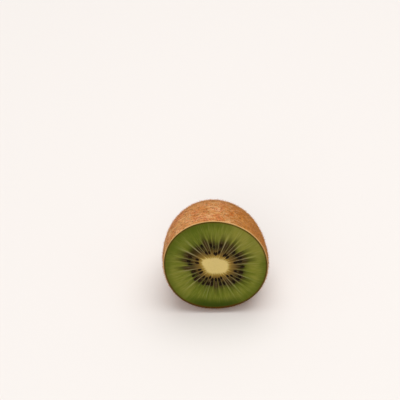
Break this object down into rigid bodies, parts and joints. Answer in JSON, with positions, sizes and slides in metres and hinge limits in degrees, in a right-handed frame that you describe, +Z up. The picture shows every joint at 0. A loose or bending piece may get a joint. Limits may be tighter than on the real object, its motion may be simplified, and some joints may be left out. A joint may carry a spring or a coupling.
{
  "type": "kiwi fruit half",
  "caption": "Half of a kiwi fruit lying on its side, cut across: green flesh with a ring of dark seeds, a pale core and a thin brown skin with short fuzz.",
  "frame": {"origin": "middle of the bottom of the fruit's bounding box, on the surface that it lies on", "axes": "+Z up; the cut faces -Y and 13 degrees up; +Y runs towards the blossom end; X runs across the cut"},
  "size_m": [0.0484, 0.0454, 0.048],
  "materials": {
    "flesh": "wet, translucent green pulp, cut smooth",
    "core": "dense cream-coloured pulp, cut smooth",
    "skin": "thin dry brown peel",
    "fuzz": "short fine hairs",
    "seed": "smooth, wet and nearly black"
  },
  "bodies": {
    "root": {"flesh": "flesh", "core": "core"}
  },
  "joints": []
}
